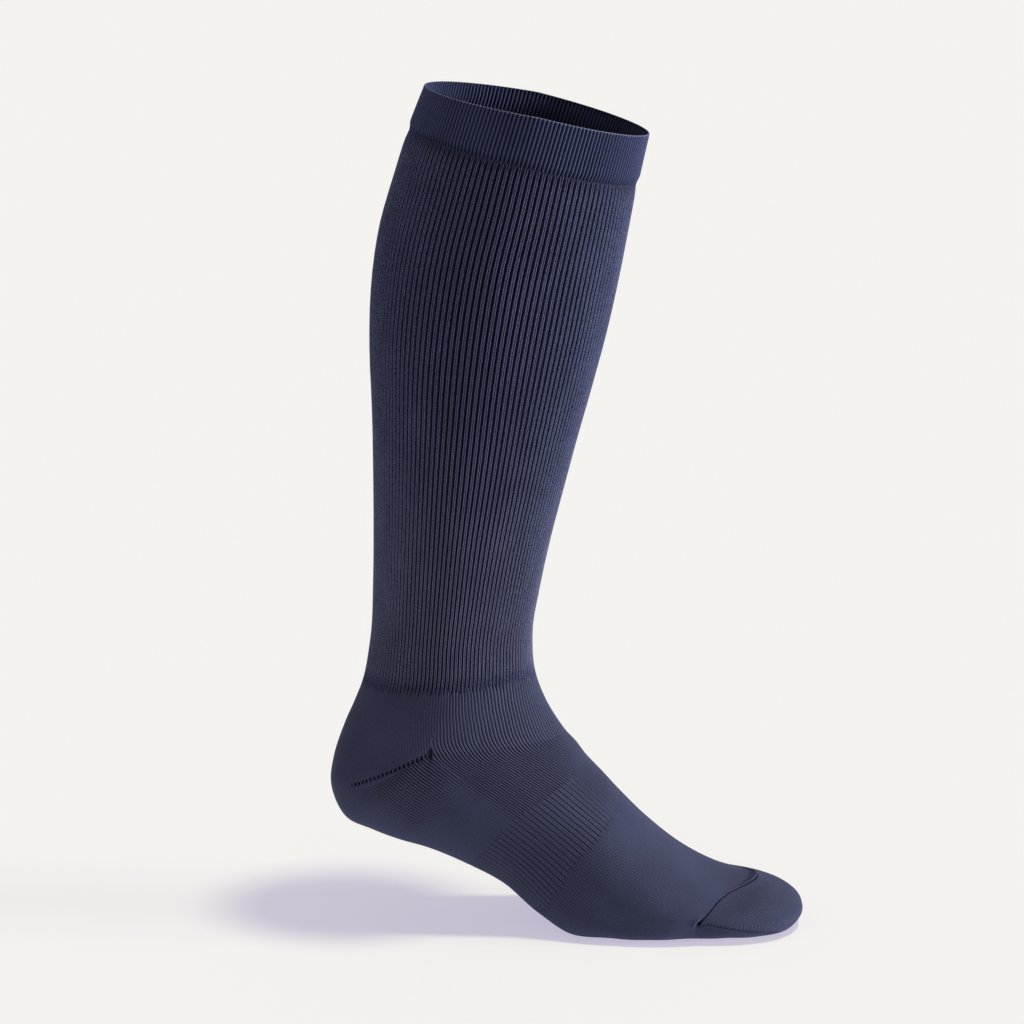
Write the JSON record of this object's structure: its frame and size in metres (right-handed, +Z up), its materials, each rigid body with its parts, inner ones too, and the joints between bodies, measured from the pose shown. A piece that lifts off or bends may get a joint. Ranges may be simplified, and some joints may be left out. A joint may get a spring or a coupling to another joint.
{
  "type": "compression stocking",
  "caption": "Knee-high compression stocking in its worn shape, hollow and open at the top, with a ribbed leg, shaped heel and closed toe.",
  "frame": {"origin": "middle of the leg opening, where the stocking is held up", "axes": "+X towards the toe, +Z up along the height of the stocking, Y across it, which is its mirror direction"},
  "size_m": [0.2394, 0.1192, 0.4255],
  "materials": {
    "welt_knit": "doubled elastic one by one rib knit, matte navy nylon",
    "rib_knit": "two by one rib knit, matte navy nylon and elastane",
    "foot_knit": "fine rib knit, matte navy nylon and elastane",
    "pocket_knit": "plain knit, matte navy nylon"
  },
  "bodies": {
    "root": {"welt": "welt_knit", "leg": "rib_knit", "ankle": "foot_knit", "heel": "pocket_knit", "instep": "foot_knit", "arch_band": "foot_knit", "forefoot": "foot_knit", "toe": "pocket_knit"}
  },
  "joints": []
}
